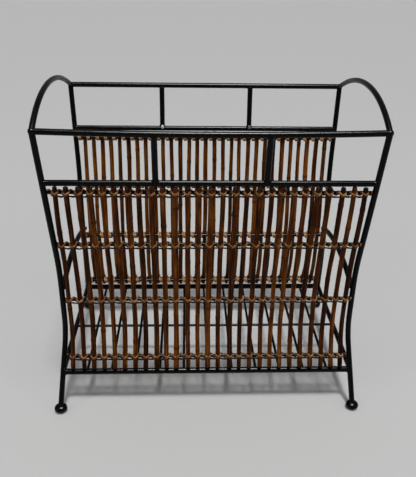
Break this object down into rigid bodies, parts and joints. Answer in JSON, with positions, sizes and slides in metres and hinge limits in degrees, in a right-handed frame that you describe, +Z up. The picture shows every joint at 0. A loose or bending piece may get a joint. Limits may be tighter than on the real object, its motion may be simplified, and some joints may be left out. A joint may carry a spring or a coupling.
{
  "type": "newspaper rack",
  "caption": "Free-standing newspaper rack of black round steel rod with arched end handles, waisted sides of lashed rattan sticks and a wire grid base.",
  "frame": {"origin": "on the floor, in the middle of the footprint of the four feet", "axes": "+X from the left end to the right end, +Y from the front panel to the back panel, +Z up"},
  "size_m": [0.4328, 0.2838, 0.4384],
  "materials": {
    "black_paint": "satin black paint on steel rod",
    "rattan_stick": "stained rattan with a satin lacquer",
    "rattan_strip": "split rattan strip, satin"
  },
  "bodies": {
    "root": {"left_handle": "black_paint", "right_handle": "black_paint", "front_left_foot": "black_paint", "front_right_foot": "black_paint", "back_left_foot": "black_paint", "back_right_foot": "black_paint", "front_left_leg": "black_paint", "front_right_leg": "black_paint", "back_left_leg": "black_paint", "back_right_leg": "black_paint", "front_top_rail": "black_paint", "front_second_rail": "black_paint", "front_bottom_rail": "black_paint", "back_top_rail": "black_paint", "back_second_rail": "black_paint", "back_bottom_rail": "black_paint", "front_left_upright": "black_paint", "front_right_upright": "black_paint", "back_left_upright": "black_paint", "back_right_upright": "black_paint", "front_binding_rod_one": "black_paint", "front_binding_rod_two": "black_paint", "front_binding_rod_three": "black_paint", "front_binding_rod_four": "black_paint", "back_binding_rod_one": "black_paint", "back_binding_rod_two": "black_paint", "back_binding_rod_three": "black_paint", "back_binding_rod_four": "black_paint", "left_side_arch": "black_paint", "left_end_rail": "black_paint", "right_side_arch": "black_paint", "right_end_rail": "black_paint", "base_wire_1": "black_paint", "base_wire_2": "black_paint", "base_wire_3": "black_paint", "base_wire_4": "black_paint", "base_wire_5": "black_paint", "base_wire_6": "black_paint", "base_wire_7": "black_paint", "base_wire_8": "black_paint", "base_wire_9": "black_paint", "base_wire_10": "black_paint", "base_wire_11": "black_paint", "base_cross_wire": "black_paint", "front_sticks_left": "rattan_stick", "front_sticks_middle": "rattan_stick", "front_sticks_right": "rattan_stick", "back_sticks_left": "rattan_stick", "back_sticks_middle": "rattan_stick", "back_sticks_right": "rattan_stick", "front_lashing_one": "rattan_strip", "front_lashing_two": "rattan_strip", "front_lashing_three": "rattan_strip", "front_lashing_four": "rattan_strip", "back_lashing_one": "rattan_strip", "back_lashing_two": "rattan_strip", "back_lashing_three": "rattan_strip", "back_lashing_four": "rattan_strip"}
  },
  "joints": []
}
